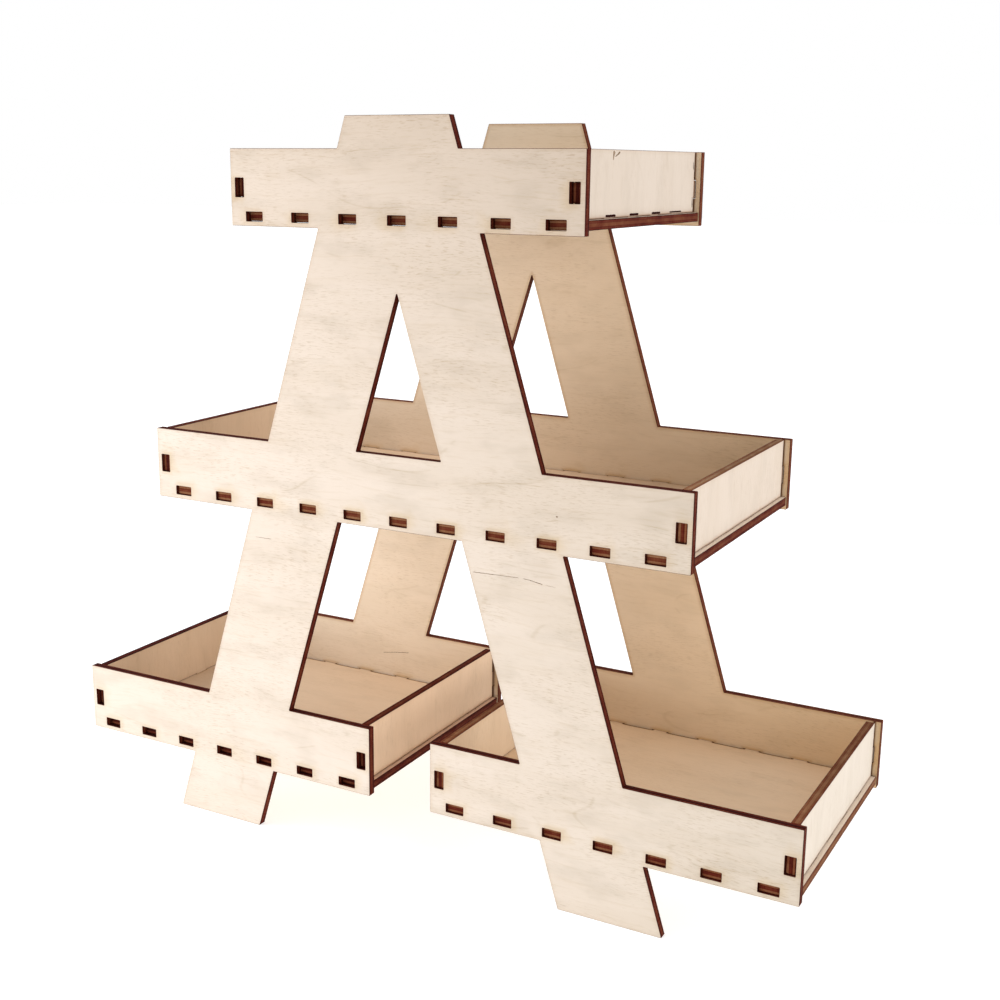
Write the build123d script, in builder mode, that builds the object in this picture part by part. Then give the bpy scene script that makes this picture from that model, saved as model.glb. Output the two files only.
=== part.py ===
from build123d import *
import os
from typing import NamedTuple

# A three-tier paint rack that slots together from laser-cut plywood: two A-shaped panels,
# front and back, carry four open trays. Each tray is a floor and two end panels, held by
# tabs alone, with no glue blocks and no fasteners.
# Millimetres. +X runs along the rack, +Y from front to back, +Z up.
# The origin is under the middle of the rack, on the surface that its feet stand on.

os.makedirs("parts", exist_ok=True)

# Overall
PLY = 3.0
RACK_HEIGHT = 252.0
RACK_DEPTH = 98.0
CLEAR_DEPTH = RACK_DEPTH - 2 * PLY

# A-shaped outline of each panel
HEAD_HALF = 18.9
FOOT_OUTER_HALF = 97.2
FOOT_INNER_HALF = 60.8
APEX_HEIGHT = 198.0

# Bars that the trays hang between
BAR_HEIGHT = 25.0
LOWEST_BAR = 23.0
TIER_PITCH = 97.0
TOP_LENGTH = 129.0
MIDDLE_LENGTH = 203.0
LOWER_LENGTH = 127.8
LOWER_GAP = 24.4
LOWER_CENTRE = (LOWER_GAP + LOWER_LENGTH) / 2

# Slots, cut a little wider and higher than the tabs that go through them. The upright ones
# are the loosest.
SLOT_WIDTH = 6.8
SLOT_HEIGHT = 3.2
SLOT_LIFT = 1.5
UPRIGHT_SLOT_WIDTH = 3.6
UPRIGHT_SLOT_HEIGHT = 6.3
UPRIGHT_SLOT_LIFT = 9.3
TAB_WIDTH = 6.4
UPRIGHT_TAB_HEIGHT = 6.1

# Trays: the shoulders stop just short of the panels, the tabs inside the panels' thickness.
# The end panels sit forward, which leaves a wider gap behind them.
SHOULDER_GAP = 0.2
FLOOR_DEPTH = CLEAR_DEPTH - 2 * SHOULDER_GAP
END_REAR_GAP = 1.3
END_DEPTH = CLEAR_DEPTH - SHOULDER_GAP - END_REAR_GAP
END_MIDDLE = (SHOULDER_GAP - END_REAR_GAP) / 2
SHALLOW_RECESS = 0.85
DEEP_RECESS = 2.0
FLOOR_INSET = 0.3
END_INSET = 3.5
END_TABS = 4
END_TAB_PITCH = 18.5
JOINT_GAP = 0.1


class Tray(NamedTuple):
    """One tray: where its bar is, how its tabs are spaced and how deep they sit in the slots."""

    name: str
    centre: float
    length: float
    tier: int
    tabs: int
    tab_pitch: float
    recess: float

    @property
    def bar_bottom(self):
        return LOWEST_BAR + self.tier * TIER_PITCH

    @property
    def floor_bottom(self):
        return self.bar_bottom + SLOT_LIFT + (SLOT_HEIGHT - PLY) / 2

    @property
    def end_reach(self):
        """From the tray's centre to the middle of each end panel."""
        return self.length / 2 - END_INSET

    @property
    def tip_to_tip(self):
        return RACK_DEPTH - 2 * self.recess


TRAYS = (
    Tray("top", 0.0, TOP_LENGTH, 2, 7, 18.4, DEEP_RECESS),
    Tray("middle", 0.0, MIDDLE_LENGTH, 1, 11, 18.05, SHALLOW_RECESS),
    Tray("lower_left", -LOWER_CENTRE, LOWER_LENGTH, 0, 7, 18.1, DEEP_RECESS),
    Tray("lower_right", LOWER_CENTRE, LOWER_LENGTH, 0, 7, 18.1, SHALLOW_RECESS),
)


# The two A-shaped panels: legs that meet in a flat head, bars across them, and a row of
# slots with an upright slot at each end in every bar.
for name, rear_face in (("front_frame", -CLEAR_DEPTH / 2), ("back_frame", RACK_DEPTH / 2)):
    with BuildPart() as frame:
        with BuildSketch(Plane.XZ.offset(-rear_face)):
            with BuildLine():
                Polyline(
                    (-FOOT_OUTER_HALF, 0),
                    (-HEAD_HALF, RACK_HEIGHT),
                    (HEAD_HALF, RACK_HEIGHT),
                    (FOOT_OUTER_HALF, 0),
                    (FOOT_INNER_HALF, 0),
                    (0, APEX_HEIGHT),
                    (-FOOT_INNER_HALF, 0),
                    close=True,
                )
            make_face()
            for tray in TRAYS:
                with Locations((tray.centre, tray.bar_bottom + BAR_HEIGHT / 2)):
                    Rectangle(tray.length, BAR_HEIGHT)
            for tray in TRAYS:
                with Locations((tray.centre, tray.bar_bottom + SLOT_LIFT + SLOT_HEIGHT / 2)):
                    with GridLocations(tray.tab_pitch, 0, tray.tabs, 1):
                        Rectangle(SLOT_WIDTH, SLOT_HEIGHT, mode=Mode.SUBTRACT)
                upright_middle = tray.bar_bottom + UPRIGHT_SLOT_LIFT + UPRIGHT_SLOT_HEIGHT / 2
                with Locations((tray.centre, upright_middle)):
                    with GridLocations(2 * tray.end_reach, 0, 2, 1):
                        Rectangle(UPRIGHT_SLOT_WIDTH, UPRIGHT_SLOT_HEIGHT, mode=Mode.SUBTRACT)
        extrude(amount=PLY)
    frame.part.label = name
    export_step(frame.part, f"parts/{name}.step")


# Tray floors: a board between the panels with tabs along both long edges, and a row of
# slots across it near each end for the end panel's tabs.
for tray in TRAYS:
    with BuildPart() as floor:
        with BuildSketch(Plane.XY.offset(tray.floor_bottom)):
            with Locations((tray.centre, 0)):
                Rectangle(tray.length - 2 * FLOOR_INSET, FLOOR_DEPTH)
                with GridLocations(tray.tab_pitch, 0, tray.tabs, 1):
                    Rectangle(TAB_WIDTH, tray.tip_to_tip)
                with GridLocations(2 * tray.end_reach, END_TAB_PITCH, 2, END_TABS):
                    Rectangle(SLOT_HEIGHT, SLOT_WIDTH, mode=Mode.SUBTRACT)
        extrude(amount=PLY)
    name = f"{tray.name}_tray_floor"
    floor.part.label = name
    export_step(floor.part, f"parts/{name}.step")


# End panels: an upright board that stands on the floor, with a tab at each side edge and
# four tabs down through the floor.
for tray in TRAYS:
    for side, direction in (("left", -1), ("right", 1)):
        end_bottom = tray.floor_bottom + PLY + JOINT_GAP
        end_top = tray.bar_bottom + BAR_HEIGHT
        upright_middle = tray.bar_bottom + UPRIGHT_SLOT_LIFT + UPRIGHT_SLOT_HEIGHT / 2
        left_face = tray.centre + direction * tray.end_reach - PLY / 2
        with BuildPart() as end_panel:
            with BuildSketch(Plane.YZ.offset(left_face)):
                with Locations((END_MIDDLE, (end_bottom + end_top) / 2)):
                    Rectangle(END_DEPTH, end_top - end_bottom)
                with Locations((0, upright_middle)):
                    Rectangle(tray.tip_to_tip, UPRIGHT_TAB_HEIGHT)
                with Locations((0, (tray.floor_bottom + end_top) / 2)):
                    with GridLocations(END_TAB_PITCH, 0, END_TABS, 1):
                        Rectangle(TAB_WIDTH, end_top - tray.floor_bottom)
            extrude(amount=PLY)
        name = f"{tray.name}_tray_{side}_end"
        end_panel.part.label = name
        export_step(end_panel.part, f"parts/{name}.step")
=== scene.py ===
import math
import random

import bpy
import numpy as np
from mathutils import Matrix, Vector, geometry, noise


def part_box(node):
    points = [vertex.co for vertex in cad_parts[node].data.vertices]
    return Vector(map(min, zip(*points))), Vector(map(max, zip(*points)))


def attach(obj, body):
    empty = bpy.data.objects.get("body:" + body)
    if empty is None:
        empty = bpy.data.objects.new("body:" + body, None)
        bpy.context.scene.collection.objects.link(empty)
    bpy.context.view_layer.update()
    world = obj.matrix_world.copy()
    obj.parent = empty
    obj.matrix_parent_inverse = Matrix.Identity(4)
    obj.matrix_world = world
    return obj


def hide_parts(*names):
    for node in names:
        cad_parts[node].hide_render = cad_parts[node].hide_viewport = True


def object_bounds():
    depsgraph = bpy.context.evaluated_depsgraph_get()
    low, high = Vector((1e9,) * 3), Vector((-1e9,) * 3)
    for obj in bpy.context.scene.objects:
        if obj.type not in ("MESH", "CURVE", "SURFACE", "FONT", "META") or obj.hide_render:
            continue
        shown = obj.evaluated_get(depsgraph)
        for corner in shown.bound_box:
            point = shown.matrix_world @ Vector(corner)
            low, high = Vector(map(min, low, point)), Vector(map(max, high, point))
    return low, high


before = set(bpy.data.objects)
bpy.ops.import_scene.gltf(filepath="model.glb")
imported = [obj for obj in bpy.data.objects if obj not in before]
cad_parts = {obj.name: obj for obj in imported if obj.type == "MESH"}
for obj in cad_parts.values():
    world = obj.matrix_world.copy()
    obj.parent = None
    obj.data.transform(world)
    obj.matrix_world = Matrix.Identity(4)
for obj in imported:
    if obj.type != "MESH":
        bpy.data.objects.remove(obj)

# A slot-together paint rack of laser-cut, three-layer birch plywood. Every board of the frame
# is rebuilt here on its own CAD outline, with veneer layers, glue lines and a charred kerf.

cad_low, cad_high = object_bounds()

X_AXIS, Y_AXIS, Z_AXIS = range(3)
MM = 0.001
PLY = (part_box("front_frame")[1][1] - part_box("front_frame")[0][1]) / MM
WELD_DECIMALS = 3
PLACE_DECIMALS = 2
PLY_TOLERANCE = 0.01

# Board edges, in millimetres
CORNER_RADIUS = 0.25
CORNER_STEPS = 3
EDGE_STEP = 1.2
RIM_CHAMFER = 0.10
SCORCH_INSET = 0.20
FACE_VENEER = 0.92
VENEER_SAG = 0.01
GLUE_RECESS = 0.07
GLUE_LIP = 0.02
GLUE_HALF = 0.05
SLOT_RIM_SHARE = 0.35
STRAIGHT_TURN = 0.001
LEAST_LEAN = 0.35

# How far the kerf wavers, in mm, and how fast along the edge and through the board
KERF_WAVER = 0.025
WAVER_ALONG = 0.9
WAVER_THROUGH = 0.8

# Splits in the face veneer, in millimetres, and the share by which their lips are ragged
SPLIT_STEP = 0.3
SPLIT_EASE = 0.5
SPLIT_WANDER = 0.05
SPLIT_CLEAR = 0.12
SPLIT_RAGGED = 0.3
SPLIT_LEAST_STEPS = 4

# What a point inside a split has for its distance from a cut: too far for any scorch
FAR_FROM_CUTS = 9.0

# Rings of face points round every cut: (distance from the cut, spacing along it)
CUT_RINGS = ((0.3, 1.2), (0.7, 1.4), (1.4, 1.8), (2.4, 2.6), (3.8, 3.8))
RING_SLACK = 0.9
OPEN_SPACING = 5.0
OPEN_MARGIN = 4.6
OPEN_JITTER = 0.2


# ---------------------------------------------------------------- outlines from the frame

def cad_loops(node):
    """A flat CAD board's axes (across, up, through), its closed outlines and its two faces."""
    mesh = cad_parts[node].data
    points = np.array([v.co for v in mesh.vertices]) / MM
    through = int(np.argmin(np.ptp(points, axis=0)))
    across, up = [axis for axis in range(3) if axis != through]
    low, high = points[:, through].min(), points[:, through].max()
    flat = np.round(points, WELD_DECIMALS)
    directed = set()
    for polygon in mesh.polygons:
        if np.ptp(points[list(polygon.vertices), through]) > PLY_TOLERANCE:
            continue
        if abs(points[polygon.vertices[0], through] - low) > PLY_TOLERANCE:
            continue
        corners = [tuple(flat[i, [across, up]]) for i in polygon.vertices]
        for a, b in zip(corners, corners[1:] + corners[:1]):
            directed.add((a, b))
    follow = {a: b for a, b in directed if (b, a) not in directed}
    loops = []
    while follow:
        start = min(follow)
        loop = [start]
        point = follow.pop(start)
        while point != start:
            loop.append(point)
            point = follow.pop(point)
        loops.append(without_straight_points(np.array(loop)))
    loops.sort(key=lambda loop: -abs(signed_area(loop)))
    turned = [oriented(loop, outer=(i == 0)) for i, loop in enumerate(loops)]
    return (across, up, through), turned, (low, high)


def signed_area(loop):
    x, y = loop[:, 0], loop[:, 1]
    return 0.5 * float(np.sum(x * np.roll(y, -1) - np.roll(x, -1) * y))


def oriented(loop, outer):
    """The outer loop runs anticlockwise and slots clockwise, so wood is always on the left."""
    return loop if (signed_area(loop) > 0) == outer else loop[::-1]


def without_straight_points(loop):
    before = loop - np.roll(loop, 1, axis=0)
    after = np.roll(loop, -1, axis=0) - loop
    turn = before[:, 0] * after[:, 1] - before[:, 1] * after[:, 0]
    scale = np.linalg.norm(before, axis=1) * np.linalg.norm(after, axis=1)
    return loop[np.abs(turn) > STRAIGHT_TURN * scale]


def rounded(loop):
    """The same loop with each corner turned on a small radius, as the beam leaves it."""
    points = []
    for i, corner in enumerate(loop):
        back = loop[i - 1] - corner
        ahead = loop[(i + 1) % len(loop)] - corner
        back = back / np.linalg.norm(back)
        ahead = ahead / np.linalg.norm(ahead)
        half = math.acos(float(np.clip(back @ ahead, -1, 1))) / 2
        reach = CORNER_RADIUS / math.tan(half)
        middle = (back + ahead) / np.linalg.norm(back + ahead)
        centre = corner + middle * CORNER_RADIUS / math.sin(half)
        start, end = corner + back * reach - centre, corner + ahead * reach - centre
        sweep = math.pi - 2 * half
        for k in range(CORNER_STEPS + 1):
            t = k / CORNER_STEPS
            share = (math.sin((1 - t) * sweep), math.sin(t * sweep))
            points.append(centre + (start * share[0] + end * share[1]) / math.sin(sweep))
    return np.array(points)


def divided(loop, step):
    """The loop with its long runs divided into pieces of about one step."""
    points = []
    for a, b in zip(loop, np.roll(loop, -1, axis=0)):
        count = max(1, round(float(np.linalg.norm(b - a)) / step))
        points.extend(a + (b - a) * k / count for k in range(count))
    return np.array(points)


def inward(loop):
    """At each point, the step into the wood that insets both neighbouring runs by one."""
    along = np.roll(loop, -1, axis=0) - loop
    along = along / np.linalg.norm(along, axis=1)[:, None]
    left = np.stack([-along[:, 1], along[:, 0]], axis=1)
    mean = left + np.roll(left, 1, axis=0)
    mean = mean / np.linalg.norm(mean, axis=1)[:, None]
    lean = np.clip(np.sum(mean * left, axis=1), LEAST_LEAN, 1)
    return mean / lean[:, None]


def distance_to_cuts(points, loops):
    """From each point to the nearest cut, in millimetres."""
    nearest = np.full(len(points), np.inf)
    for loop in loops:
        for a, b in zip(loop, np.roll(loop, -1, axis=0)):
            run = b - a
            t = np.clip((points - a) @ run / (run @ run), 0, 1)
            gap = np.linalg.norm(points - a - t[:, None] * run, axis=1)
            nearest = np.minimum(nearest, gap)
    return nearest


def in_wood(points, loops):
    """True where a point is inside the outline and outside every slot."""
    crossings = np.zeros(len(points), int)
    for loop in loops:
        for a, b in zip(loop, np.roll(loop, -1, axis=0)):
            if a[1] == b[1]:
                continue
            spans = (a[1] > points[:, 1]) != (b[1] > points[:, 1])
            x = a[0] + (points[:, 1] - a[1]) * (b[0] - a[0]) / (b[1] - a[1])
            crossings += spans & (points[:, 0] < x)
    return crossings % 2 == 1


def jitter(rng):
    return rng.uniform(-OPEN_JITTER, OPEN_JITTER)


def face_points(loops, rng):
    """Points for a broad face: close together beside the cuts and open in between."""
    rings = []
    for gap, spacing in CUT_RINGS:
        for loop in loops:
            line = divided(loop, spacing)
            ring = line + inward(line) * gap
            ring = ring[in_wood(ring, loops)]
            rings.append(ring[distance_to_cuts(ring, loops) > gap * RING_SLACK])
    low, high = loops[0].min(axis=0), loops[0].max(axis=0)
    columns = int((high[0] - low[0]) / OPEN_SPACING) + 1
    rows = int((high[1] - low[1]) / OPEN_SPACING) + 1
    grid = np.array([
        (
            low[0] + (i + 0.5 * (j % 2) + jitter(rng)) * OPEN_SPACING,
            low[1] + (j + jitter(rng)) * OPEN_SPACING,
        )
        for i in range(columns + 1)
        for j in range(rows + 1)
    ])
    grid = grid[in_wood(grid, loops)]
    grid = grid[distance_to_cuts(grid, loops) > OPEN_MARGIN]
    return np.concatenate(rings + [grid])


def split_outline(split, rng):
    """The lips of one split, anticlockwise from its start, and the line along its bottom."""
    path = np.array(split["path"])
    strides = np.linalg.norm(np.diff(path, axis=0), axis=1)
    length = float(np.sum(strides))
    count = max(SPLIT_LEAST_STEPS, round(length / SPLIT_STEP))
    at = np.linspace(0, 1, count + 1)
    legs = np.concatenate([[0], np.cumsum(strides)]) / length
    line = np.stack([np.interp(at, legs, path[:, 0]), np.interp(at, legs, path[:, 1])], axis=1)
    line[1:-1, 1] += [rng.uniform(-SPLIT_WANDER, SPLIT_WANDER) for _ in at[1:-1]]
    ends = np.minimum(at, 1 - at) * length / split["ease"]
    half = 0.5 * np.interp(at, (0, 1), split["width"]) * np.sqrt(np.clip(ends, 0, 1))
    along = (path[-1] - path[0]) / np.linalg.norm(path[-1] - path[0])
    left = np.array([-along[1], along[0]])
    half = half * [rng.uniform(1 - split["ragged"], 1.0) for _ in at]
    upper = line + half[:, None] * left
    lower = line - half[:, None] * left
    lips = np.concatenate([line[:1], lower[1:-1], line[-1:], upper[1:-1][::-1]])
    depth = split["depth"] * np.sqrt(np.clip(ends, 0, 1))
    return lips, line[1:-1], depth[1:-1]


# ---------------------------------------------------------------- board meshes

def wall_profile(thickness):
    """Rows through the ply: (height from the middle, base inset), from one face to the other."""
    half = thickness / 2
    glue = half - FACE_VENEER
    side = (
        (half, SCORCH_INSET),
        (half, RIM_CHAMFER),
        (half - RIM_CHAMFER, 0.0),
        (half - 0.5 * FACE_VENEER, VENEER_SAG),
        (glue + GLUE_HALF, GLUE_LIP),
        (glue, GLUE_RECESS),
        (glue - GLUE_HALF, GLUE_LIP),
    )
    middle = ((0.0, 0.0),)
    return tuple((-h, inset) for h, inset in side) + middle + tuple(reversed(side))


class Board:
    """One plywood board of the frame, rebuilt with its layers on the CAD node's outline."""

    VENEER, KERF, SPLIT = 0, 1, 2

    def __init__(self, node, seed, grain_axis):
        self.node = node
        self.seed = seed
        self.rng = random.Random(seed)
        (self.across, self.up, self.through), self.loops, (self.low, self.high) = cad_loops(node)
        self.grain_axis = grain_axis
        self.splits = [split for split in SPLITS if split["node"] == node]
        self.verts = []
        self.faces = []
        self.face_kind = []
        self.cut = []
        self.spots = []
        self.endgrain = []
        self.deep_char_and_shadow = []

    def place(self, uv, height):
        """Board coordinates in millimetres to the row frame in metres."""
        co = np.empty((len(uv), 3))
        co[:, self.across] = uv[:, 0]
        co[:, self.up] = uv[:, 1]
        co[:, self.through] = (self.low + self.high) / 2 + height
        return co * MM

    def add_points(self, uv, height, cut, endgrain):
        """Adds points at a height from the board's middle, and returns their indices."""
        first = len(self.verts)
        height = np.broadcast_to(height, len(uv))
        self.verts.extend(self.place(uv, height))
        self.spots.extend(np.column_stack([uv, height]))
        self.cut.extend(cut)
        self.endgrain.extend(endgrain)
        return first + np.arange(len(uv))

    def add_split_points(self, uv, height):
        """Adds points of a split, which the scorch of the cuts doesn't reach."""
        return self.add_points(uv, height, np.full(len(uv), FAR_FROM_CUTS), np.zeros(len(uv)))

    def add_face(self, corners, kind, sign=1):
        self.faces.append(tuple(corners if sign > 0 else corners[::-1]))
        self.face_kind.append(kind)

    def build(self):
        rows = wall_profile(self.high - self.low)
        rims = {0: [], len(rows) - 1: []}
        for i, loop in enumerate(self.loops):
            edge = divided(rounded(loop), EDGE_STEP)
            starts = self.wall(edge, rows, SLOT_RIM_SHARE if i else 1.0)
            for k in rims:
                rims[k].append(starts[k])
        inner = face_points(self.loops, self.rng)
        for k, sign in ((0, -1), (len(rows) - 1, 1)):
            self.close_face(rims[k], inner, rows[k][0], sign)
        return self.object()

    def wall(self, edge, rows, rim_share):
        """The cut edge round one loop, row by row, with a scorched strip on each face."""
        step_in = inward(edge)
        grain = 0 if self.across == self.grain_axis else 1
        facing = np.abs(step_in[:, grain]) / np.linalg.norm(step_in, axis=1)
        starts = []
        for height, inset in rows:
            through = height * WAVER_THROUGH + self.seed
            waver = np.array([
                noise.noise(Vector((x * WAVER_ALONG, y * WAVER_ALONG, through)))
                for x, y in edge
            ])
            on_face = abs(height) == rows[-1][0]
            depth = inset * (rim_share if on_face else 1) + KERF_WAVER * (0.5 + 0.5 * waver)
            cut = np.full(len(edge), inset if on_face else 0.0)
            starts.append(self.add_points(edge + step_in * depth[:, None], height, cut, facing))
        last = len(rows) - 2
        for k, (lower, upper) in enumerate(zip(starts, starts[1:])):
            kind = self.VENEER if k in (0, last) else self.KERF
            for i in range(len(edge)):
                j = (i + 1) % len(edge)
                self.add_face((lower[i], lower[j], upper[j], upper[i]), kind)
        return starts

    def close_face(self, rims, inner, height, sign):
        """Triangulates one broad face between its rims and round the splits in its veneer."""
        loops = [np.array([self.spots[i][:2] for i in rim]) for rim in rims]
        indices = list(rims)
        for split in self.splits:
            if split["side"] == sign:
                lips, line, depth = split_outline(split, self.rng)
                inner = inner[clear_of(inner, lips, SPLIT_CLEAR)]
                ring = self.add_split_points(lips, height)
                loops.append(lips)
                indices.append(ring)
                # Near-black splits, partly char and partly painted shadow, take the charred kerf
                kind = self.KERF if split["charred_and_shaded"] else self.SPLIT
                self.open_split(ring, line, height - sign * depth, sign, kind)
        constraints = []
        offset = 0
        for loop in loops:
            size = len(loop)
            constraints.extend((offset + i, offset + (i + 1) % size) for i in range(size))
            offset += size
        cut = distance_to_cuts(inner, self.loops)
        indices.append(self.add_points(inner, height, cut, np.zeros(len(inner))))
        index = np.concatenate(indices)
        points = np.concatenate(loops + [inner])
        made = geometry.delaunay_2d_cdt([Vector(p) for p in points], constraints, [], 0, 1e-6)
        flat = np.array([tuple(p) for p in made[0]])
        centres = np.array([flat[list(triangle)].mean(axis=0) for triangle in made[2]])
        for triangle, keep in zip(made[2], in_wood(centres, loops)):
            if keep:
                self.add_face([int(index[made[3][i][0]]) for i in triangle], self.VENEER, sign)

    def open_split(self, ring, line, heights, sign, kind):
        """The two sloping sides of a split, from its lips down to the line along its bottom."""
        bottom = self.add_split_points(line, heights)
        if kind == self.KERF:
            self.deep_char_and_shadow.extend([*ring, *bottom])
        count = len(line)
        start, lower, end = ring[0], ring[1:count + 1], ring[count + 1]
        upper = ring[count + 2:][::-1]
        self.add_face((start, lower[0], bottom[0]), kind, sign)
        self.add_face((start, bottom[0], upper[0]), kind, sign)
        self.add_face((end, bottom[-1], lower[-1]), kind, sign)
        self.add_face((end, upper[-1], bottom[-1]), kind, sign)
        for i in range(count - 1):
            self.add_face((lower[i], lower[i + 1], bottom[i + 1], bottom[i]), kind, sign)
            self.add_face((bottom[i], bottom[i + 1], upper[i + 1], upper[i]), kind, sign)

    def object(self):
        name = self.node + "_ply"
        mesh = bpy.data.meshes.new(name)
        mesh.from_pydata([tuple(v) for v in self.verts], [], self.faces)
        if self.through == Y_AXIS:
            mesh.flip_normals()
        self.write_attributes(mesh)
        board = bpy.data.objects.new(name, mesh)
        bpy.context.scene.collection.objects.link(board)
        mesh.materials.append(veneer)
        mesh.materials.append(kerf)
        if self.splits:
            mesh.materials.append(torn_shaded)
        for polygon, kind in zip(mesh.polygons, self.face_kind):
            polygon.material_index = kind
            polygon.use_smooth = kind == self.KERF
        mesh.update()
        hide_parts(self.node)
        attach(board, "root")
        return board

    def write_attributes(self, mesh):
        """Everything that the materials read, point by point."""
        spots = np.array(self.spots)
        side = np.sign(spots[:, 2])
        back = side != of_board(OUTWARD, self.node)
        ledge = self.on_ledge(spots[:, 0])
        is_end = self.node.endswith("end")
        write(mesh, "grain", "FLOAT_VECTOR", "vector", self.grain_places(spots, side))
        write(mesh, "spot", "FLOAT_VECTOR", "vector", spots)
        write(mesh, "tint", "FLOAT_VECTOR", "vector", self.tints(spots, side, ledge))
        write(mesh, "figure", "FLOAT", "value", np.full(len(spots), of_board(FIGURE, self.node)))
        write(mesh, "cut", "FLOAT", "value", np.array(self.cut))
        write(mesh, "endgrain", "FLOAT", "value", np.array(self.endgrain))
        write(mesh, "char", "FLOAT", "value", self.chars())
        smoke = np.where(back & (not is_end), BACK_SMOKE, FACE_SMOKE)
        # Painted light: the ledges are left clear of smoke, so that they stay pale
        write(mesh, "smoke", "FLOAT", "value", np.where(ledge, 0.0, smoke))
        # The face that gets the dark lines of char and painted shadow
        char_shadow_face = ~back if is_end else back
        for name, fixed in (("upright_char_shadow", 0), ("level_char_shadow", 1)):
            lines = self.char_and_shadow_lines(spots[:, :2], fixed)
            lines[:, 2] *= char_shadow_face
            write(mesh, name, "FLOAT_VECTOR", "vector", lines)
        write(mesh, "soot", "FLOAT", "value", self.soot(spots[:, :2]))

    def grain_places(self, spots, side):
        """Places along and across the grain, in metres, each face on its own part of a log."""
        angle = self.rng.uniform(-GRAIN_LEAN, GRAIN_LEAN)
        grain = 0 if self.across == self.grain_axis else 1
        lengthwise, over = spots[:, grain] * MM, spots[:, 1 - grain] * MM
        offsets = {
            s: (self.rng.uniform(0, LOG_LENGTH), self.rng.uniform(0, LOG_LENGTH))
            for s in (-1, 0, 1)
        }
        shift = np.array([offsets[int(s)] for s in side])
        return np.stack([
            lengthwise * math.cos(angle) + over * math.sin(angle) + shift[:, 0],
            over * math.cos(angle) - lengthwise * math.sin(angle) + shift[:, 1],
            side,
        ], axis=1)

    def tints(self, spots, side, ledge):
        """The shade of each face, partly painted light and shade, with the ledges of a floor
        painted paler on its upper face as painted light.
        """
        outline = self.loops[0]
        reach = np.clip((spots[:, :2] - outline.min(axis=0)) / np.ptp(outline, axis=0), 0, 1)
        tint = veneer_tint(self.node, side, reach)
        # Painted light: the ledges outside the end panels are paler
        if ledge.any():
            tint[ledge & (side > 0)] = of_board(PAINTED_LIGHT_LEDGES, self.node)
        return tint

    def chars(self):
        """How dark the beam left each point of the edges; the notches and chipped edge are darkest,
        partly char and partly painted shadow.
        """
        across, along = of_board(CHAR, self.node)
        char = along + (across - along) * np.array(self.endgrain) ** 2
        char[self.deep_char_and_shadow] = DEEP_CHAR_AND_SHADOW
        return char

    def on_ledge(self, u):
        """True on the ends of a floor, in to under its end panels."""
        low, high = self.loops[0][:, 0].min(), self.loops[0][:, 0].max()
        inside = np.minimum(u - low, high - u)
        return (inside < LEDGE_WIDTH) & self.node.endswith("floor")

    def soot(self, uv):
        """Smoke stain beside each slot, blown to one side as the beam cut it."""
        stain_and_shadow = np.zeros(len(uv))
        if not self.node.endswith("frame"):
            return stain_and_shadow
        for loop in self.loops[1:]:
            centre = loop.mean(axis=0)
            half = np.ptp(loop, axis=0) / 2
            if half.max() > SLOT_HALF_LIMIT:
                continue
            drift = np.array(SOOT_DRIFT_HIGH if centre[1] > SOOT_TURN_HEIGHT else SOOT_DRIFT)
            drift = drift + [self.rng.uniform(-SOOT_WANDER, SOOT_WANDER) for _ in "uv"]
            strength = self.rng.uniform(SOOT_LEAST, 1.0)
            gap = np.abs(uv - centre - drift) - half
            outside = np.linalg.norm(np.maximum(gap, 0), axis=1)
            stain_and_shadow = np.maximum(stain_and_shadow, strength * np.exp(-(outside / SOOT_REACH) ** 2))
        return stain_and_shadow

    def char_and_shadow_lines(self, uv, fixed):
        """By each point, the nearest dark line of char and painted shadow: its place, how far it
        reaches, how dark.
        """
        reach, strength = of_board(JOINT_CHAR_AND_SHADOW, self.node)[fixed]
        if self.node.endswith("end"):
            return self.panel_char_and_shadow(uv, fixed, reach, strength)
        is_frame = self.node.endswith("frame")
        inset = GAP_SHADOW_INSET if is_frame else 0.0
        lift = GAP_SHADOW_START if is_frame else 0.0
        lines = np.zeros((len(uv), 3))
        nearest = np.full(len(uv), np.inf)
        outline = self.loops[0]
        for a, b in zip(outline, np.roll(outline, -1, axis=0)):
            if abs(a[fixed] - b[fixed]) > PLY_TOLERANCE:
                continue
            place = a[fixed] - math.copysign(inset, b[1] - a[1])
            low, high = sorted((a[1 - fixed], b[1 - fixed]))
            along = uv[:, 1 - fixed]
            past = np.maximum(0, np.maximum(low + lift - along, along - high))
            gap = np.abs(uv[:, fixed] - place)
            char_shadowed = (past < CHAR_SHADOW_OVERRUN) & (gap < CHAR_SHADOW_LIMIT * reach)
            nearer = past + gap < nearest
            lines[nearer] = (abs(place), reach, strength)
            lines[nearer, 2] *= char_shadowed[nearer]
            nearest[nearer] = (past + gap)[nearer]
        return lines

    def panel_char_and_shadow(self, uv, fixed, reach, strength):
        """The straight dark line of char and painted shadow behind an end panel's rear edge, or the
        one along its foot.
        """
        places = np.unique(np.round(self.loops[0][:, fixed], PLACE_DECIMALS))
        place = places[1] if fixed else (places[-2] + PANEL_BACK) / 2
        lines = np.tile((place, reach, strength), (len(uv), 1))
        if not fixed:
            lines[:, 2] *= uv[:, 0] > 0
        return lines


def clear_of(points, loop, gap):
    return (distance_to_cuts(points, [loop]) > gap) & ~in_wood(points, [loop])


def write(mesh, name, kind, field, values):
    attribute = mesh.attributes.new(name, kind, "POINT")
    attribute.data.foreach_set(field, values.astype(np.float32).ravel())


# ---------------------------------------------------------------- the timber of each board

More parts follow.
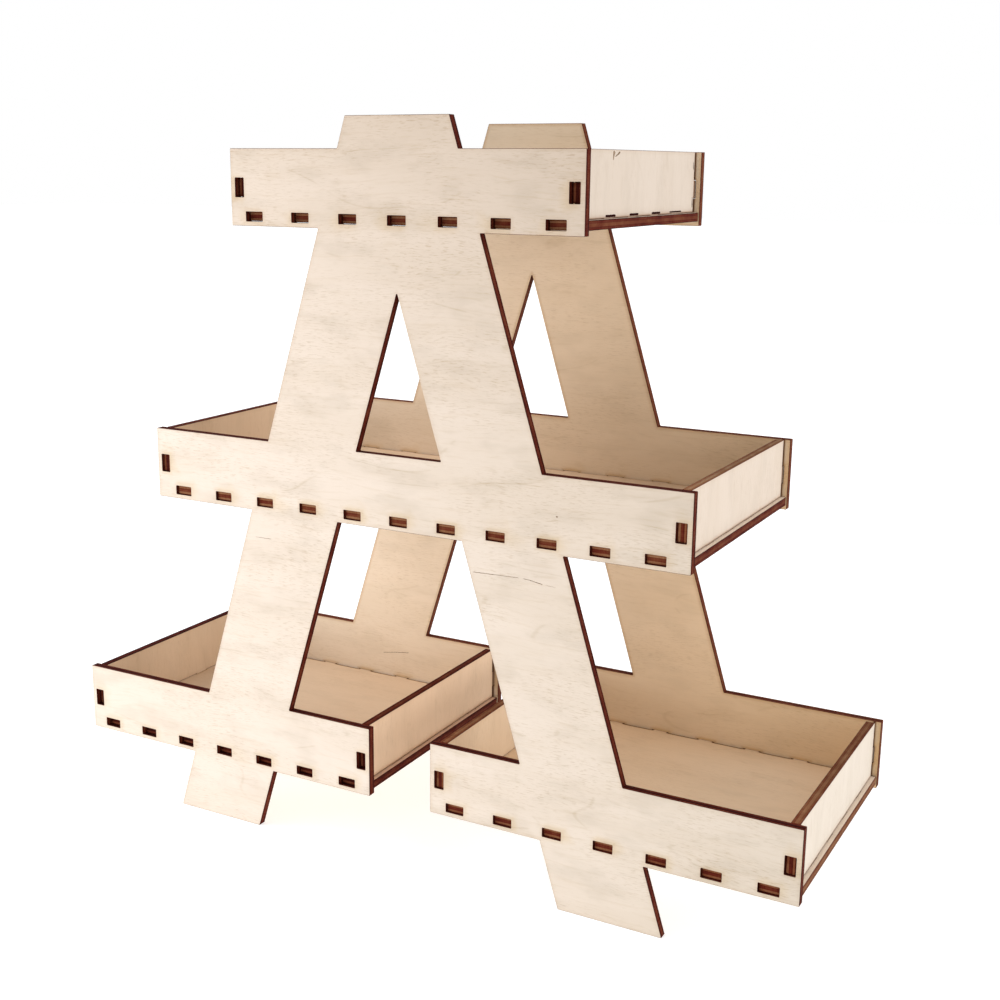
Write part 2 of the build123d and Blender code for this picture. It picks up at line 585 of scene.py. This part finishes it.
# Shades of birch veneer, some of them darkened, lightened or warmed as painted light and shade
IVORY = (0.68, 0.59, 0.51)
CREAM = (0.72, 0.61, 0.51)
BLOND = (0.82, 0.73, 0.62)
APRICOT = (0.88, 0.68, 0.48)
STRAW = (0.79, 0.67, 0.535)
TAN = (0.74, 0.57, 0.41)
TOFFEE = (0.67, 0.50, 0.35)
CARAMEL = (0.84, 0.61, 0.42)
BUFF = (0.56, 0.49, 0.42)
OAT = (0.67, 0.57, 0.48)
WHEAT = (0.77, 0.68, 0.58)
SAND = (0.93, 0.76, 0.57)

# Each board's shades, its good face and then its back: partly the veneer's own tone, with a
# tanner back, and partly painted light and shade, matched to how light falls on each board, so
# that boards in shade are painted darker and warmer, lit ones paler, and the left ends darker
SHADES_WITH_PAINTED_LIGHT = {
    "front_frame": (IVORY, TAN),
    "back_frame": (IVORY, STRAW),
    "lower_right_tray_left_end": (BUFF, SAND),
    "left_end": (BUFF, TAN),
    "top_tray": (OAT, TAN),
    "middle_tray": (CREAM, TOFFEE),
    "lower_left_tray_right_end": (CARAMEL, TOFFEE),
    "lower_left_tray": (APRICOT, TOFFEE),
    "lower_right_tray_right_end": (WHEAT, APRICOT),
    "lower_right_tray": (BLOND, APRICOT),
}
OUTWARD = {"front_frame": -1, "back_frame": 1, "left_end": -1, "right_end": 1, "floor": -1}

# Painted shade on the frames: each is painted darker towards its right and its top, where less
# light falls, by the factor reached at its far corner, with the powers of the share of width and
# of height that the painted shade goes with
PAINTED_SHADE_DRIFTS = {
    "front_frame": (((0.66, 0.60, 0.54), (0.85, 2.2)), ((0.85, 0.85, 0.82), (2.5, 0.0))),
    "back_frame": (((0.92, 0.80, 0.62), (1.5, 0.0)), ((0.82, 0.84, 0.86), (0.0, 6.0))),
}


def of_board(table, node):
    """The entry of a table for the kind of board that a node is."""
    return next(table[part] for part in table if node.startswith(part) or node.endswith(part))


def veneer_tint(node, side, reach):
    """Shades with painted light and shade: good face outward, tan back inward, frames darker up and
    right.
    """
    good, back = of_board(SHADES_WITH_PAINTED_LIGHT, node)
    is_good = (side == of_board(OUTWARD, node))[:, None]
    shade = np.where(is_good, good, back)
    # Painted shade: a frame darkens towards its right and its top
    if node.endswith("frame"):
        for drift, powers in PAINTED_SHADE_DRIFTS[node]:
            amount = np.prod(reach ** np.array(powers), axis=1)
            shade = shade * (1 - amount[:, None] * (1 - np.array(drift)))
    return shade


# How strongly the figure shows on a board, from 0 to 1
FIGURE = {"front_frame": 1.0, "back_frame": 0.7, "end": 0.55, "floor": 0.6}

# How dark the beam left a board's edges, from 0 to 1: across the face grain, then along it
CHAR = {
    "front_frame": (0.80, 0.93),
    "back_frame": (0.65, 0.67),
    "top_tray_floor": (0.71, 0.60),
    "middle_tray_floor": (0.73, 0.56),
    "lower_left_tray_floor": (0.80, 0.82),
    "lower_right_tray_floor": (0.48, 0.66),
    "middle_tray_left_end": (0.85, 0.80),
    "lower_left_tray_left_end": (0.95, 0.85),
    "top_tray": (0.50, 0.75),
    "middle_tray": (0.34, 0.62),
    "lower_left_tray": (0.76, 0.82),
    "lower_right_tray": (0.46, 0.72),
}
# The notches and the chipped rear edge: darkest char, partly painted shadow
DEEP_CHAR_AND_SHADOW = 1.3

# Smoke round the cuts, from 0 to 1: on the backs of frames and floors, and on all other faces
BACK_SMOKE = 1.0
FACE_SMOKE = 0.3

# Soot beside the slots of the frames: how far and which way it was blown, in mm, which changes
# above a height, how much that and its strength wander, and how far it reaches
SOOT_DRIFT = (1.2, 0.5)
SOOT_DRIFT_HIGH = (-1.3, -0.6)
SOOT_TURN_HEIGHT = 200.0
SOOT_WANDER = 0.3
SOOT_LEAST = 0.5
SOOT_REACH = 1.1
SLOT_HALF_LIMIT = 6.0

# How far a board's grain leans, in radians, and how long a log its faces are taken from, in m
GRAIN_LEAN = 0.02
LOG_LENGTH = 9.0

# Dark lines on a board, partly char from the cuts and partly painted shadow in the joints and
# gaps, as how far each reaches in mm and how dark it is from 0 to 1: the upright ones, then the
# level ones. They follow the gap behind the end panels on the back frame, the shoulders of the
# floors, and the rear edge and the foot of the end panels. Those of frames and floors are clear
# past the overrun, in mm, and past the limit, in reaches.
CLEAN = (1.0, 0.0)
CHAR_SHADOW_OVERRUN = 0.3
CHAR_SHADOW_LIMIT = 3.0
JOINT_CHAR_AND_SHADOW = {
    "front_frame": (CLEAN, CLEAN),
    "back_frame": ((0.6, 0.92), CLEAN),
    "end": ((0.70, 0.95), (0.45, 0.60)),
    "middle_tray_floor": (CLEAN, (0.45, 0.5)),
    "floor": (CLEAN, (0.65, 1.0)),
}

# The dark line on the back frame, mostly painted shadow, that is seen through the gap behind an
# end panel, in mm: how far in from the bar's end it lies, just past the panel's outer face, and
# how far up the bar it starts, on top of the tray floor
PAST_END_FACE = 0.36
END_FACE_INSET = (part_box("front_frame")[1][0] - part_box("lower_right_tray_right_end")[1][0]) / MM
GAP_SHADOW_INSET = END_FACE_INSET + PAST_END_FACE
FLOOR_LIFT = 1.6
GAP_SHADOW_START = FLOOR_LIFT + PLY

# Where the back frame's near face stands, in mm
PANEL_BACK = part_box("back_frame")[0][1] / MM

# The strip of floor outside each end panel, painted paler as painted light where it stands out of
# the tray's shade: its shades, and how far in it goes
PAINTED_LIGHT_LEDGES = {"lower_left_tray_floor": (0.78, 0.55, 0.42), "floor": (0.86, 0.72, 0.59)}
LEDGE_WIDTH = PLY


def share(node, across, up):
    """A place on an upright board, by its share of the board's width and height, in mm."""
    low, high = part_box(node)
    axis = 0 if node.endswith("frame") else 1
    return (
        (low[axis] + across * (high[axis] - low[axis])) / MM,
        (low[2] + up * (high[2] - low[2])) / MM,
    )


def split(node, side, places, width, depth, charred_and_shaded=False, ease=SPLIT_EASE, ragged=SPLIT_RAGGED):
    """A split in a face veneer, along places given as shares of the board, in mm."""
    return {
        "node": node,
        "side": side,
        "path": [share(node, *place) for place in places],
        "width": width,
        "depth": depth,
        "charred_and_shaded": charred_and_shaded,
        "ease": ease,
        "ragged": ragged,
    }


# The dark notches of char and painted shadow, front to back, in mm: how far behind its slot's
# middle, how long, how thick
NOTCHES = ((1.6, 7.8, 0.78), (1.5, 7.4, 0.76), (1.5, 7.6, 0.74), (0.4, 11.0, 0.50))
NOTCH_LEVEL = 3.76
NOTCH_DEPTH = 0.5
NOTCH_EASE = 0.15
NOTCH_RAGGED = 0.05


def char_and_shadow_notches(node, side):
    """Dark notches above an end panel's tabs, one by each slot: partly char, partly painted shadow
    of the joint.
    """
    low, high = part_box(node)
    depth, height = (high[1] - low[1]) / MM, (high[2] - low[2]) / MM
    level = NOTCH_LEVEL / height
    notches = []
    slots = slot_places(node.replace("right_end", "floor"))
    for centre, (shift, length, thickness) in zip(slots, NOTCHES):
        middle = (centre + shift - low[1] / MM) / depth
        half = length / 2 / depth
        ends = ((middle - half, level), (middle + half, level))
        width = (thickness, thickness)
        notch = split(node, side, ends, width, NOTCH_DEPTH, True, NOTCH_EASE, NOTCH_RAGGED)
        notches.append(notch)
    return notches


def slot_places(floor):
    """Where the slots of one end of a tray floor lie, from front to back, in mm."""
    loops = cad_loops(floor)[1]
    middles = [loop.mean(axis=0) for loop in loops[1:]]
    return sorted(float(m[1]) for m in middles if m[0] > loops[0][:, 0].mean())


# The splits, the pin knot, a scratch, the torn flake and the chipped rear edge of the veneers; the
# chipped rear edge and the notches are painted near-black, partly char and partly painted shadow
SPLITS = [
    split("front_frame", -1, ((0.60, 0.438), (0.63, 0.439), (0.66, 0.440)), (0.26, 0.16), 0.20),
    split("front_frame", -1, ((0.665, 0.440), (0.675, 0.439), (0.69, 0.436)), (0.20, 0.26), 0.25),
    split("front_frame", -1, ((0.693, 0.436), (0.706, 0.435)), (0.10, 0.08), 0.08),
    split("front_frame", -1, ((0.29, 0.438), (0.315, 0.438)), (0.10, 0.18), 0.18),
    split("front_frame", -1, ((0.704, 0.525), (0.707, 0.525)), (0.65, 0.60), 0.40),
    split("back_frame", -1, ((0.26, 0.147), (0.285, 0.152), (0.306, 0.155)), (0.30, 0.30), 0.12),
    split("top_tray_right_end", 1, ((0.238, 0.984), (0.230, 0.86)), (2.4, 0.25), 0.5, ease=0.2),
    split("top_tray_right_end", 1, ((0.286, 0.972), (0.245, 0.905)), (0.9, 0.35), 0.3, ease=0.2),
    split("top_tray_right_end", 1, ((0.966, 0.74), (0.966, 0.86)), (0.6, 0.5), 0.4, charred_and_shaded=True),
    split("top_tray_right_end", 1, ((0.966, 0.20), (0.966, 0.36)), (0.7, 0.5), 0.4, charred_and_shaded=True),
    *char_and_shadow_notches("top_tray_right_end", 1),
]


# ---------------------------------------------------------------- materials

BUMP_STRENGTH = 0.5


class Nodes:
    """Short calls for building a node material."""

    def __init__(self, name):
        self.material = bpy.data.materials.new(name)
        self.material.use_nodes = True
        self.tree = self.material.node_tree
        self.tree.nodes.clear()

    def add(self, kind, **settings):
        node = self.tree.nodes.new(kind)
        for key, value in settings.items():
            setattr(node, key, value)
        return node

    def link(self, source, target):
        self.tree.links.new(source, target)

    def feed(self, socket, value):
        if isinstance(value, bpy.types.NodeSocket):
            self.link(value, socket)
        else:
            socket.default_value = value

    def attribute(self, name, output="Fac"):
        return self.add("ShaderNodeAttribute", attribute_name=name).outputs[output]

    def separate(self, vector):
        node = self.add("ShaderNodeSeparateXYZ")
        self.link(vector, node.inputs[0])
        return node.outputs

    def math(self, operation, a, b=0.0, clamp=False):
        node = self.add("ShaderNodeMath", operation=operation, use_clamp=clamp)
        self.feed(node.inputs[0], a)
        self.feed(node.inputs[1], b)
        return node.outputs[0]

    def vector(self, operation, a, b):
        node = self.add("ShaderNodeVectorMath", operation=operation)
        self.feed(node.inputs[0], a)
        self.feed(node.inputs[1], b)
        return node.outputs[0]

    def noise(self, vector, scale, detail=4.0, roughness=0.55):
        """Noise over a vector that is stretched by a scale for each axis."""
        node = self.add("ShaderNodeTexNoise", noise_dimensions="3D")
        self.link(self.vector("MULTIPLY", vector, scale), node.inputs["Vector"])
        node.inputs["Scale"].default_value = 1.0
        node.inputs["Detail"].default_value = detail
        node.inputs["Roughness"].default_value = roughness
        return node.outputs["Fac"]

    def range(self, value, low, high, to_low=0.0, to_high=1.0):
        node = self.add("ShaderNodeMapRange", interpolation_type="SMOOTHSTEP")
        self.feed(node.inputs["Value"], value)
        node.inputs["From Min"].default_value = low
        node.inputs["From Max"].default_value = high
        node.inputs["To Min"].default_value = to_low
        node.inputs["To Max"].default_value = to_high
        return node.outputs["Result"]

    def mix(self, factor, a, b, blend="MIX"):
        node = self.add("ShaderNodeMix", data_type="RGBA", blend_type=blend)
        self.feed(node.inputs[0], factor)
        self.feed(node.inputs[6], a)
        self.feed(node.inputs[7], b)
        return node.outputs[2]

    def ramp(self, value, stops):
        node = self.add("ShaderNodeValToRGB")
        elements = node.color_ramp.elements
        while len(elements) < len(stops):
            elements.new(1.0)
        for element, (position, colour) in zip(elements, stops):
            element.position = position
            element.color = colour
        self.link(value, node.inputs[0])
        return node.outputs["Color"]

    def finish(self, colour, roughness, height, bump_distance, specular):
        shader = self.shader = self.add("ShaderNodeBsdfPrincipled")
        shader.inputs["Specular IOR Level"].default_value = specular
        self.feed(shader.inputs["Base Color"], colour)
        self.feed(shader.inputs["Roughness"], roughness)
        bump = self.add("ShaderNodeBump")
        bump.inputs["Strength"].default_value = BUMP_STRENGTH
        bump.inputs["Distance"].default_value = bump_distance
        self.feed(bump.inputs["Height"], height)
        self.link(bump.outputs[0], shader.inputs["Normal"])
        output = self.add("ShaderNodeOutputMaterial")
        self.link(shader.outputs[0], output.inputs["Surface"])
        return self.material


def rgba(red, green, blue):
    return (red, green, blue, 1.0)


# The figure of birch veneer, as noise scales per metre: along the grain, over it, and through
WARP_SCALE = (14, 35, 1)
FIBRE_SCALE = (330, 3000, 1)
STREAK_SCALE = (70, 900, 1)
BAND_SCALE = (12, 90, 1)
CLOUD_SCALE = (45, 110, 1)
GROWTH_SCALE = (6, 26, 1)
PATCH_SCALE = (22, 50, 1)
TORN_SCALE = (500, 5000, 1)
WARP_REACH = 0.010
GROWTH_LINES = 11.0

# What multiplies the veneer's shade, or stains it, or paints shadow on it
BAND_SHADE = rgba(0.955, 0.945, 0.925)
CLOUD_SHADE = rgba(0.910, 0.905, 0.890)
STREAK_SHADE = rgba(0.945, 0.925, 0.890)
MARK_SHADE = rgba(0.840, 0.800, 0.745)
GROWTH_SHADE = rgba(0.920, 0.900, 0.860)
SOOT_SHADE = rgba(0.94, 0.885, 0.77)
SMOKE_SHADE = rgba(0.86, 0.78, 0.69)
CHAR_SHADOW_COLOUR = rgba(0.300, 0.130, 0.045)
CHAR_SHADOW_CORE_COLOUR = rgba(0.060, 0.020, 0.010)
SCORCH_SHADE = rgba(0.20, 0.08, 0.045)
# Inside the splits: the torn fibres' browns, darkened as painted shade
TORN_AND_SHADED_COLOURS = (rgba(0.42, 0.31, 0.22), rgba(0.24, 0.165, 0.11))

# How far the smoke of a cut reaches, in mm, how strong the scorch on its rim is, and where a
# dark line of char and painted shadow starts to fade and is gone, in reaches
SMOKE_REACH = 1.6
SCORCH_STRENGTH = 0.45
CHAR_SHADOW_CORE = 0.2
CHAR_SHADOW_END = 1.6


def veneer_figure(n, grain):
    """The patterns of birch veneer, each with the range it shows in and its shade; the fibre."""
    warp = n.noise(grain, WARP_SCALE, detail=2.0)
    lift = n.add("ShaderNodeCombineXYZ")
    n.feed(lift.inputs["Y"], n.math("MULTIPLY", warp, WARP_REACH))
    bent = n.vector("ADD", grain, lift.outputs[0])

    fibre = n.noise(bent, FIBRE_SCALE, detail=3.0, roughness=0.6)
    streak = n.noise(bent, STREAK_SCALE, detail=3.0, roughness=0.6)
    band = n.noise(bent, BAND_SCALE, detail=3.0)
    cloud = n.noise(grain, CLOUD_SCALE, detail=3.0, roughness=0.6)
    figure = n.noise(bent, GROWTH_SCALE, detail=2.0, roughness=0.4)
    contour = n.math("PINGPONG", n.math("MULTIPLY", figure, GROWTH_LINES), 0.5)
    growth = n.math("MULTIPLY", n.range(contour, 0.0, 0.05, 1.0, 0.0), n.range(cloud, 0.46, 0.62))
    patchy = n.range(n.noise(grain, PATCH_SCALE, detail=2.0), 0.36, 0.62, 0.25, 1.0)
    marks = n.math("MULTIPLY", n.range(fibre, 0.50, 0.68), patchy)
    patterns = (
        (band, 0.35, 0.65, BAND_SHADE),
        (cloud, 0.45, 0.70, CLOUD_SHADE),
        (streak, 0.50, 0.72, STREAK_SHADE),
        (marks, 0.00, 1.00, MARK_SHADE),
        (growth, 0.00, 1.00, GROWTH_SHADE),
    )
    return patterns, fibre, streak


def char_shadowed(n, colour):
    """The colour with its dark lines of char and painted shadow: dark brown, and nearly black along
    their middle.
    """
    spot = n.separate(n.attribute("spot", "Vector"))
    for name, place in (("upright_char_shadow", spot[0]), ("level_char_shadow", spot[1])):
        line = n.separate(n.attribute(name, "Vector"))
        gap = n.math("SUBTRACT", n.math("ABSOLUTE", place), line[0])
        gap = n.math("ABSOLUTE", n.math("DIVIDE", gap, line[1]))
        fade = n.range(gap, CHAR_SHADOW_CORE, CHAR_SHADOW_END, 1.0, 0.0)
        stain_and_shadow = n.math("MULTIPLY", fade, line[2])
        colour = n.mix(stain_and_shadow, colour, CHAR_SHADOW_COLOUR)
        colour = n.mix(n.math("POWER", stain_and_shadow, 3.0), colour, CHAR_SHADOW_CORE_COLOUR)
    return colour


def veneer_material():
    """Rotary-cut birch veneer: short fibre marks, cloudy figure, faint growth lines, smoke."""
    n = Nodes("birch_veneer")
    patterns, fibre, streak = veneer_figure(n, n.attribute("grain", "Vector"))
    bold = n.attribute("figure")
    colour = n.attribute("tint", "Vector")
    for pattern, low, high, shade in patterns:
        amount = n.math("MULTIPLY", n.range(pattern, low, high), bold)
        colour = n.mix(amount, colour, shade, "MULTIPLY")

    colour = n.mix(n.attribute("soot"), colour, SOOT_SHADE, "MULTIPLY")
    smoke = n.range(n.attribute("cut"), SCORCH_INSET, SMOKE_REACH, 1.0, 0.0)
    smoke = n.math("MULTIPLY", smoke, n.attribute("smoke"))
    colour = n.mix(smoke, colour, SMOKE_SHADE, "MULTIPLY")
    colour = char_shadowed(n, colour)
    scorch = n.range(n.attribute("cut"), RIM_CHAMFER, SCORCH_INSET, SCORCH_STRENGTH, 0.0)
    colour = n.mix(scorch, colour, SCORCH_SHADE)

    rough = n.range(fibre, 0.3, 0.8, 0.62, 0.76)
    height = n.math("ADD", fibre, n.math("MULTIPLY", streak, 0.6))
    return n.finish(colour, rough, height, bump_distance=0.00005, specular=0.25)


# The charred kerf, by the distance from the board's middle in mm: where the core gives way to
# the face veneer, where the glue line lies, and where the darker rim starts and is full
FACE_LAYER = (0.50, 0.62)
GLUE_LINE = 0.58
GLUE_REACH = 0.09
GLUE_BURN = 0.13
RIM_LAYER = (1.20, 1.42)
RIM_BURN = 0.30

# How much the layers differ, on edges that run along the face grain and across it
LAYER_CONTRAST = (0.30, 0.13)

# Noise scales on the kerf, per mm, and how much each changes the burn
KERF_PATTERNS = (
    ((0.16, 0.16, 0.40), 0.55),
    ((5.00, 5.00, 0.35), 0.30),
    ((3.00, 3.00, 5.00), 0.20),
)

# From the least burnt wood to char
CHAR_RAMP = (
    (0.00, rgba(0.440, 0.310, 0.210)),
    (0.30, rgba(0.270, 0.130, 0.063)),
    (0.55, rgba(0.165, 0.052, 0.022)),
    (0.78, rgba(0.100, 0.013, 0.006)),
    (1.00, rgba(0.030, 0.003, 0.002)),
)


def kerf_material():
    """The laser-cut edge: three veneers, darker on end grain, with glue lines and charred rims."""
    n = Nodes("charred_kerf")
    spot = n.attribute("spot", "Vector")
    ply = n.math("ABSOLUTE", n.separate(spot)[2])
    face_layer = n.range(ply, *FACE_LAYER)
    end = n.math("POWER", n.attribute("endgrain"), 2.0)
    turned = n.add("ShaderNodeMix", data_type="FLOAT")
    n.feed(turned.inputs[0], face_layer)
    n.feed(turned.inputs[2], n.math("SUBTRACT", 1.0, end))
    n.feed(turned.inputs[3], end)
    contrast = n.range(end, 0.0, 1.0, *LAYER_CONTRAST)
    layer = n.math("MULTIPLY", n.math("SUBTRACT", turned.outputs[0], 0.5), contrast)

    burn = n.math("ADD", n.attribute("char"), layer)
    patterns = [n.noise(spot, scale, detail=3.0) for scale, _ in KERF_PATTERNS]
    for pattern, (_, amount) in zip(patterns, KERF_PATTERNS):
        change = n.math("MULTIPLY", n.math("SUBTRACT", pattern, 0.5), amount)
        burn = n.math("ADD", burn, change)
    rim = n.range(ply, *RIM_LAYER, 0.0, RIM_BURN)
    off_glue = n.math("ABSOLUTE", n.math("SUBTRACT", ply, GLUE_LINE))
    glue = n.range(off_glue, 0.0, GLUE_REACH, GLUE_BURN, 0.0)
    burn = n.math("ADD", n.math("ADD", burn, rim), glue, clamp=True)
    comb, fleck = patterns[1:]
    height = n.math("ADD", comb, n.math("MULTIPLY", fleck, 0.5))
    rough = n.range(comb, 0.3, 0.7, 0.7, 0.9)
    colour = n.ramp(burn, CHAR_RAMP)
    return n.finish(colour, rough, height, bump_distance=0.00006, specular=0.06)


def torn_and_shaded_material():
    """Torn fibres inside a split in the veneer, their browns darkened as painted shade in the
    split's hollow.
    """
    n = Nodes("torn_shaded_veneer")
    grain = n.attribute("grain", "Vector")
    fibre = n.noise(grain, TORN_SCALE, detail=3.0)
    colour = n.mix(n.range(fibre, 0.35, 0.65), *TORN_AND_SHADED_COLOURS)
    return n.finish(colour, 0.9, fibre, bump_distance=0.00005, specular=0.1)


# ---------------------------------------------------------------- the boards

FIRST_SEED = 11
veneer = veneer_material()
kerf = kerf_material()
torn_shaded = torn_and_shaded_material()
for seed, node in enumerate(sorted(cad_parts)):
    axis = Z_AXIS if node.endswith("_end") else X_AXIS
    Board(node, FIRST_SEED + seed, axis).build()


# ---------------------------------------------------------------- stage, light and camera

# The floor: how far it reaches each way in m, its shades, and how much light it gives itself
FLOOR_HALF = 6.0
FLOOR_SHADES = (rgba(0.60, 0.60, 0.60), rgba(0.62, 0.62, 0.62))
FLOOR_GLOW = 0.62


def stage_floor():
    """A wide, plain white table that the feet stand on, which glows a little."""
    mesh = bpy.data.meshes.new("floor")
    corners = [
        (x * FLOOR_HALF, y * FLOOR_HALF, 0)
        for x, y in ((-1, -1), (1, -1), (1, 1), (-1, 1))
    ]
    mesh.from_pydata(corners, [], [(0, 1, 2, 3)])
    floor = bpy.data.objects.new("floor", mesh)
    bpy.context.scene.collection.objects.link(floor)
    n = Nodes("pale_floor")
    place = n.add("ShaderNodeTexCoord").outputs["Object"]
    tone = n.mix(n.noise(place, (3, 3, 3), detail=2.0), *FLOOR_SHADES)
    grit = n.noise(place, (60, 60, 60))
    material = n.finish(tone, 0.9, grit, bump_distance=0.00002, specular=0.2)
    floor.data.materials.append(material)
    n.shader.inputs["Emission Strength"].default_value = FLOOR_GLOW


# Soft lamps: (name, degrees round from the front, degrees up, strength)
LAMPS = (
    ("key", -70, 45, 1.4),
    ("low_left", -40, 12, 0.4),
    ("low_right", 80, 12, 0.83),
)
LAMP_SPREAD = math.radians(25)
LAMP_AWAY = 2.0

# A small soft lamp: its place and aim in m, its width and its watts
NEAR_PLACE = (-0.45, -0.35, 0.06)
NEAR_AIM = (-0.05, 0.0, 0.12)
NEAR_WIDTH = 0.3
NEAR_WATTS = 1.6

# How bright the room is to the rack, and how bright to the camera
ROOM_LIGHT = 0.73
BACKDROP_LIGHT = 1.0


def soft_lamps():
    """Broad lamps all round the front, as from large diffusers."""
    for name, around, above, strength in LAMPS:
        data = bpy.data.lights.new(name, "SUN")
        data.angle = LAMP_SPREAD
        data.energy = strength
        lamp = bpy.data.objects.new(name, data)
        around, above = math.radians(around), math.radians(above)
        source = Vector((
            math.sin(around) * math.cos(above),
            -math.cos(around) * math.cos(above),
            math.sin(above),
        ))
        lamp.location = source * LAMP_AWAY
        lamp.rotation_euler = (-source).to_track_quat("-Z", "Y").to_euler()
        bpy.context.scene.collection.objects.link(lamp)


def near_lamp():
    """A soft lamp beside the left foot, which makes the left of the rack the brightest."""
    data = bpy.data.lights.new("near_left", "AREA")
    data.shape = "DISK"
    data.size = NEAR_WIDTH
    data.energy = NEAR_WATTS
    lamp = bpy.data.objects.new("near_left", data)
    lamp.location = NEAR_PLACE
    aim = Vector(NEAR_AIM) - lamp.location
    lamp.rotation_euler = aim.to_track_quat("-Z", "Y").to_euler()
    lamp.visible_camera = False
    bpy.context.scene.collection.objects.link(lamp)


def white_room():
    """Even light from all round, in front of a white backdrop."""
    world = bpy.data.worlds.new("studio")
    world.use_nodes = True
    tree = world.node_tree
    room = tree.nodes["Background"]
    room.inputs["Color"].default_value = rgba(1.0, 1.0, 1.0)
    room.inputs["Strength"].default_value = ROOM_LIGHT
    backdrop = tree.nodes.new("ShaderNodeBackground")
    backdrop.inputs["Color"].default_value = rgba(1.0, 1.0, 1.0)
    backdrop.inputs["Strength"].default_value = BACKDROP_LIGHT
    seen = tree.nodes.new("ShaderNodeLightPath").outputs["Is Camera Ray"]
    choose = tree.nodes.new("ShaderNodeMixShader")
    tree.links.new(seen, choose.inputs[0])
    tree.links.new(room.outputs[0], choose.inputs[1])
    tree.links.new(backdrop.outputs[0], choose.inputs[2])
    tree.links.new(choose.outputs[0], tree.nodes["World Output"].inputs["Surface"])
    bpy.context.scene.world = world


# The camera: how far round from the front, how far it looks down, how much it leans, how many
# rack heights away it stands and at what share of the rack's height it looks; then its sensor
# and lens in mm, its shift, and the nearest and farthest it sees in m
VIEW_AROUND = math.radians(29)
VIEW_DOWN = math.radians(13.6)
VIEW_LEAN = math.radians(0.4)
VIEW_HEIGHTS = 2.0
AIM_SHARE = 0.47
SENSOR = 36.0
LENS = 50.65
SHIFT = (0.0295, 0.006)
CLIP = (0.01, 50.0)


def front_right_camera():
    """Looks at the rack from the right and above."""
    data = bpy.data.cameras.new("camera")
    data.sensor_width = SENSOR
    data.lens = LENS
    data.shift_x, data.shift_y = SHIFT
    data.clip_start, data.clip_end = CLIP
    camera = bpy.data.objects.new("camera", data)
    height = cad_high[2] - cad_low[2]
    aim = Vector((0.0, 0.0, AIM_SHARE * height))
    away = Vector((
        math.sin(VIEW_AROUND) * math.cos(VIEW_DOWN),
        -math.cos(VIEW_AROUND) * math.cos(VIEW_DOWN),
        math.sin(VIEW_DOWN),
    ))
    turn = (-away).to_track_quat("-Z", "Y").to_matrix() @ Matrix.Rotation(VIEW_LEAN, 3, "Z")
    place = Matrix.Translation(aim + away * VIEW_HEIGHTS * height)
    camera.matrix_world = place @ turn.to_4x4()
    bpy.context.scene.collection.objects.link(camera)
    bpy.context.scene.camera = camera


stage_floor()
soft_lamps()
near_lamp()
white_room()
front_right_camera()
bpy.context.scene.view_settings.view_transform = "Standard"
